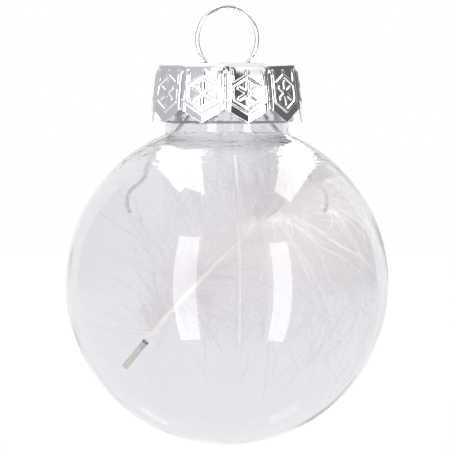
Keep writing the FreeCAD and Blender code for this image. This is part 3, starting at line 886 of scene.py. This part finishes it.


# %% [markdown]
# The plume is fullest over its shaft and to the right of it. Several pieces share the barbs, so that no
# single mesh is too heavy: long ones that sweep to the wall, short dense fluff where the plume starts,
# some that pass before the clip's right leg, thick curved barbs that glow as a painted highlight, stray
# threads, and one small tuft with a warm tint. The pieces listed as fluff take a darker copy of the white
# down, as painted shade. The numbers of a piece are its seed, its count of barbs, where they leave the
# shaft as shares of its length, the side, the mean angle and its spread, and the lengths in millimetres.

# %% Down pieces
down_pieces = [
    down_piece("down_upper_left", "down_upper", 31, 230, (0.08, 0.55), 1, 52, 14, (18, 40), limp=0.6),
    down_piece("down_lower_long", "down_lower", 34, 220, (0.16, 0.62), -1, 44, 14, (22, 42), limp=0.6),
    down_piece("down_lower_tip", "down_lower", 35, 200, (0.58, 1.00), -1, 78, 20, (24, 66), limp=0.25),
    down_piece("down_lower_middle", "down_lower", 43, 170, (0.40, 0.80), -1, 62, 18, (20, 46), limp=0.35),
    down_piece("down_front", "down_lower", 37, 46, (0.35, 0.58), -1, 36, 9, (22, 34),
               depth=-0.9, behind=False),
    down_piece("down_veil", "down_lower", 42, 300, (0.70, 0.84), -1, 30, 10, (8, 20),
               depth=-0.7, behind=False),
]
fluff = [
    down_piece("down_upper_right", "down_upper", 32, 260, (0.55, 1.00), 1, 52, 20, (10, 26), limp=0.6),
    down_piece("down_upper_foot", "down_upper", 33, 220, (0.03, 0.32), 1, 66, 18, (6, 15), barbule=1.1),
    down_piece("down_lower_short", "down_lower", 36, 300, (0.14, 0.58), -1, 54, 26, (6, 19), barbule=1.1),
]
# These thick barbs get the strongest glow, set at their material: a painted highlight on the curved strands.
highlight_barbs = down_piece("down_highlight_barbs", "down_lower", 38, 64, (0.62, 0.98), -1, 46, 22, (12, 34),
                          depth=-0.1, limp=1.1, strip=0.15, barbule=0.5)
hairs = [
    down_piece("down_stray_left", "down_upper", 39, 40, (0.0, 0.25), 1, 95, 34, (12, 26),
               limp=0.9, strip=0.035, barbule=0),
    down_piece("down_stray_low", "down_lower", 40, 60, (0.0, 0.6), -1, 84, 26, (20, 44),
               limp=0.8, strip=0.035, barbule=0),
]
tuft = down_piece("down_tuft", "down_upper", 41, 70, (0.53, 0.60), 1, 70, 60, (2, 4.2),
                  depth=-0.3, barbule=0.8)

# %% [markdown]
# Clear plastic is mostly refraction. Its colour is set just under white with a little blue, because
# the light passes four faces of it and each takes a share. Faint flow wrinkles near the neck come
# from where the hot plastic was blown from a thicker collar, so their bump fades out down the ball, and
# most of it again on the neck, which the mould held.

# %% Clear plastic
def clear_plastic():
    m = Material("clear_blown_plastic", Base_Color=colour(0.881, 0.872, 0.899), IOR=1.5,
                 Transmission_Weight=1.0)
    height = m.coordinate(2)
    wrinkled = m.smooth_range(height, BALL_C[2] + 0.60 * BALL_R, BALL_C[2] + 0.92 * BALL_R)
    below_neck = m.smooth_range(height, SHOULDER_Z - 3.6 * MM, SHOULDER_Z - 0.6 * MM, 1.0, 0.35)
    wrinkles = m.noise(620, detail=2, stretch=(0.4, 0.4, 1.7), distortion=0.7)
    slow = m.noise(48, detail=1)
    m.bump(wrinkles * wrinkled * below_neck + slow * 0.9, 0.8, 0.00019)
    smudge = m.noise(90, detail=4, rough=0.6)
    m.set(m.shader, {"Roughness": smudge * 0.03 + 0.002})
    return m


clear_plastic().give(shell)

# %% [markdown]
# Bright pressed sheet is a mirror that the press has left slightly uneven. A slow bump makes each
# flat reflect a bent picture of the studio, a finer one gives the orange-peel of stretched metal, and
# the roughness varies in patches where fingers have touched it.

# %% Metals
def pressed_sheet():
    m = Material("bright_pressed_sheet", Metallic=1.0)
    tone = m.noise(160, detail=3)
    m.set(m.shader, {"Base_Color": m.mix(tone, (0.80, 0.80, 0.83), (0.90, 0.90, 0.92))})
    touched = m.noise(240, detail=5, rough=0.65)
    m.set(m.shader, {"Roughness": touched * 0.10 + 0.03})
    slow = m.noise(190, detail=1)
    peel = m.noise(1500, detail=2)
    scratches = m.noise(900, detail=2, stretch=(1, 1, 0.06))
    m.bump(slow + peel * 0.10 + scratches * 0.06, 0.5, 0.00022)
    return m


def drawn_wire(name, tone_a, tone_b, rough, patch_scale):
    m = Material(name, Metallic=1.0, Roughness=rough)
    patches = m.noise(patch_scale, detail=4)
    m.set(m.shader, {"Base_Color": m.mix(patches, tone_a, tone_b)})
    m.set(m.shader, {"Roughness": patches * 0.14 + (rough - 0.06)})
    die_marks = m.noise(2600, detail=2)
    m.bump(die_marks + patches * 0.5, 0.15, 0.00003)
    return m


def dull_sheet():
    """The back of the pressed sheet: not polished, with a faint white glow as painted light for all the white
    that it faces.
    """
    m = Material("dull_sheet_back", Metallic=0.6, Emission_Color=colour(1, 1, 1), Emission_Strength=0.12)
    tone = m.noise(420, detail=3)
    m.set(m.shader, {"Base_Color": m.mix(tone, (0.66, 0.66, 0.68), (0.86, 0.86, 0.87)),
                     "Roughness": tone * 0.2 + 0.35})
    return m


pressed_sheet().give(cap)
dull_sheet().give(cap_inside)
drawn_wire("ring_steel", (0.66, 0.66, 0.67), (0.86, 0.86, 0.87), 0.16, 300).give(ring)
drawn_wire("clip_steel", (0.44, 0.44, 0.42), (1.0, 1.0, 0.97), 0.20, 1100).give(clip)


# %% [markdown]
# The shaft is keratin: cream, turning dark pink towards its tip, with fine lines along it. It glows a
# little in its own colour, which is painted light. The hollow quill end is the same stuff without pith,
# so light passes through it.

# %% Feather materials
def shaft_material():
    # The glow in the shaft's own colour is painted light that brightens it.
    m = Material("quill_keratin", Roughness=0.45, Emission_Strength=0.30)
    blotch = m.noise(140, detail=3)
    pale = m.mix(blotch, (0.92, 0.87, 0.81), (0.98, 0.955, 0.915))
    towards_tip = m.smooth_range(m.coordinate(0), 0.0, 0.45 * INNER_R, 0.0, 0.9)
    tone = m.mix(towards_tip, pale, (0.58, 0.46, 0.45))
    m.set(m.shader, {"Base_Color": tone, "Emission_Color": tone})
    m.bump(m.noise(1800, detail=3), 0.3, 0.00005)
    return m


def quill_end_material():
    m = Material("quill_end_keratin", Transmission_Weight=1.0, IOR=1.42)
    blotch = m.noise(520, detail=3)
    m.set(m.shader, {"Base_Color": m.mix(blotch, (0.52, 0.51, 0.45), (0.84, 0.83, 0.78)),
                     "Roughness": blotch * 0.2 + 0.05})
    m.bump(m.noise(1500, detail=2), 0.4, 0.00008)
    return m


def down_material(name, dark, light, glow):
    """Thin fibres pass light on to each other, which a little glow stands in for."""
    m = Material(name, Roughness=0.8, Emission_Strength=glow, Emission_Color=colour(1, 0.99, 0.99))
    m.set(m.shader, {"Base_Color": m.mix(m.noise(85, detail=2), dark, light)})
    return m


shaft_material().give(quill)
quill_end_material().give(quill_end)
white_down = down_material("white_down", (0.90, 0.885, 0.88), (0.98, 0.97, 0.96), 0.16)
thin_hair = down_material("thin_down_hair", (0.72, 0.69, 0.71), (0.86, 0.84, 0.85), 0.10)
# Darker than the white down and with less glow: painted shade for the dense fluff.
painted_shade_down = down_material("painted_shade_down", (0.80, 0.775, 0.79), (0.93, 0.91, 0.915), 0.13)
for pieces, finish in ((down_pieces, white_down), (fluff, painted_shade_down), (hairs, thin_hair)):
    for piece in pieces:
        finish.give(piece)
# The strongest glow, on the thick curved barbs, is a painted highlight.
down_material("painted_highlight_down", (0.96, 0.96, 0.95), (1.0, 0.99, 0.97), 0.42).give(highlight_barbs)
down_material("warm_tuft", (0.98, 0.90, 0.85), (1.0, 0.96, 0.93), 0.22).give(tuft)

# %% [markdown]
# The studio is a white sweep. A mirror and a clear ball show whatever stands round them, so the scene
# also needs a studio's grey sides and its softboxes. They are cards that only reflections can see: the
# background stays white from every side, and the highlights keep their shapes. The side cards fade to
# white at their upper and lower edges, so that no hard line crosses the ball.

# %% Studio cards
WHITE = (1.0, 1.0, 1.0)


def glow(name, strength, tone, middle=0.0, half=0.0):
    """Emission that is plain, or fades to white away from a height when half is given."""
    m = Material(name)
    shade = colour(*tone)
    if half:
        away = (m.coordinate(2) - middle).math("ABSOLUTE")
        shade = m.mix(m.smooth_range(away, 0.6 * half, half), tone, WHITE)
    light = m.node("ShaderNodeEmission", {}, {"Color": shade, "Strength": strength})
    m.set(m.nodes["Material Output"], {"Surface": light})
    return m


def only_reflected(card, material):
    material.give(card)
    card.visible_camera = False
    card.visible_transmission = False
    card.visible_diffuse = False
    card.visible_shadow = False
    print(card.name, "is seen only in reflections")


def side_card(name, azimuths, elevations, strength, tone=WHITE, distance=0.34, fades=False):
    """Curved card round the ball: degrees from the front towards +X, and degrees over level."""
    around, above = (np.radians(np.linspace(*angles, 14)) for angles in (azimuths, elevations))
    aa, ee = np.meshgrid(around, above)
    points = distance * np.stack([np.sin(aa) * np.cos(ee), -np.cos(aa) * np.cos(ee), np.sin(ee)], -1)
    card = make_mesh(name, points.reshape(-1, 3) + BALL_C, grid_faces(14, 14))
    low, high = (BALL_C[2] + distance * math.sin(math.radians(e)) for e in elevations)
    only_reflected(card, glow(name, strength, tone, (low + high) / 2, (high - low) / 2 if fades else 0.0))


def overhead_card(name, corners, strength, height):
    """Flat card: corners are (x, y) as shares of its height over the ball's centre."""
    points = [BALL_C + height * np.array([x, y, 1.0]) for x, y in corners]
    card = make_mesh(name, points, [tuple(range(len(points)))])
    only_reflected(card, glow(name, strength, WHITE))


SIDES, OUTER_SIDES = (-50, 64), (-8, 44)
for name, azimuths, elevations, tone in (
        ("grey_wall_left", (-128, -60), OUTER_SIDES, (0.57, 0.57, 0.605)),
        ("grey_wall_near_left", (-60, -34), SIDES, (0.64, 0.64, 0.66)),
        ("grey_wall_front", (-18, 4), SIDES, (0.42, 0.42, 0.44)),
        ("dark_flag", (4, 28), SIDES, (0.10, 0.10, 0.11)),
        ("grey_wall_near_right", (42, 62), SIDES, (0.50, 0.49, 0.48)),
        ("dark_wall_right", (62, 128), OUTER_SIDES, (0.165, 0.155, 0.15))):
    side_card(name, azimuths, elevations, 1.0, tone, fades=True)
side_card("strip_left", (-36.0, -20.2), (-35, 32.5), 6.0, distance=0.30)
side_card("strip_right", (30.8, 43.8), (-35, 28.0), 6.0, distance=0.30)
overhead_card("overhead_left", [
    (-0.24, -0.44), (-0.43, -0.46), (-0.53, -0.22), (-0.61, 0.35), (-0.58, 0.92), (-0.44, 1.10), (-0.40, 2.2),
    (-0.10, 2.2), (-0.165, 1.15), (-0.22, 0.03)], 7.0, 0.32)
overhead_card("overhead_right", [
    (0.51, -0.27), (0.77, -0.31), (0.78, 0.95), (0.66, 2.5), (0.28, 2.5), (0.30, 1.36),
    (0.43, 0.33)], 7.0, 0.32)
overhead_card("low_left", [(0.65, -0.8), (0.40, -0.8), (0.40, -1.1), (0.65, -1.1)], 1.5, -0.2)
overhead_card("low_right", [(-0.30, -0.32), (-0.55, -0.32), (-0.55, -0.58), (-0.30, -0.58)], 1.5, -0.2)

# %% [markdown]
# The floor is far below the hanging ball. It gives off a little light of its own, so that it stays as
# white as the sky and only a soft trace of shade shows on it.

# %% Floor and sky
FLOOR_Z, FLOOR_HALF = -0.30, 6
corners = [(x * FLOOR_HALF, y * FLOOR_HALF, FLOOR_Z) for x, y in ((-1, -1), (1, -1), (1, 1), (-1, 1))]
floor = make_mesh("white_floor", corners, [(0, 1, 2, 3)])
paint = Material("white_floor_paint", Roughness=0.9, Emission_Color=colour(*WHITE), Emission_Strength=0.19)
patchy = paint.mix(paint.noise(3, detail=2), (0.80, 0.80, 0.80), (0.83, 0.83, 0.83))
paint.set(paint.shader, {"Base_Color": patchy})
paint.give(floor)

world = bpy.data.worlds.new("white_studio")
bpy.context.scene.world = world
world.use_nodes = True
sky = world.node_tree.nodes["Background"].inputs
sky["Color"].default_value, sky["Strength"].default_value = colour(*WHITE), 1.0

# %% [markdown]
# The camera is a long lens far from the ball, a couple of degrees over level. Its frame is a little
# wider than the ball and a little taller than the whole ornament.

# %% Camera
camera = bpy.data.objects.new("camera", bpy.data.cameras.new("camera"))
bpy.context.scene.collection.objects.link(camera)
bpy.context.scene.camera = camera
FRAME_WIDTH = 2.787 * BALL_R
DISTANCE = 1.4
ELEVATION = math.radians(2.0)
aim = Vector((-0.52 * MM, 0, BALL_C[2] + 14.4 * MM))
back = Vector((0, -math.cos(ELEVATION), math.sin(ELEVATION)))
camera.data.sensor_width = 36
camera.data.lens = 36 * DISTANCE / FRAME_WIDTH
camera.data.clip_start, camera.data.clip_end = 0.05, 20
camera.location = aim + back * DISTANCE
camera.rotation_mode = "QUATERNION"
camera.rotation_quaternion = (-back).to_track_quat("-Z", "Y")
bpy.context.scene.view_settings.view_transform = "Standard"
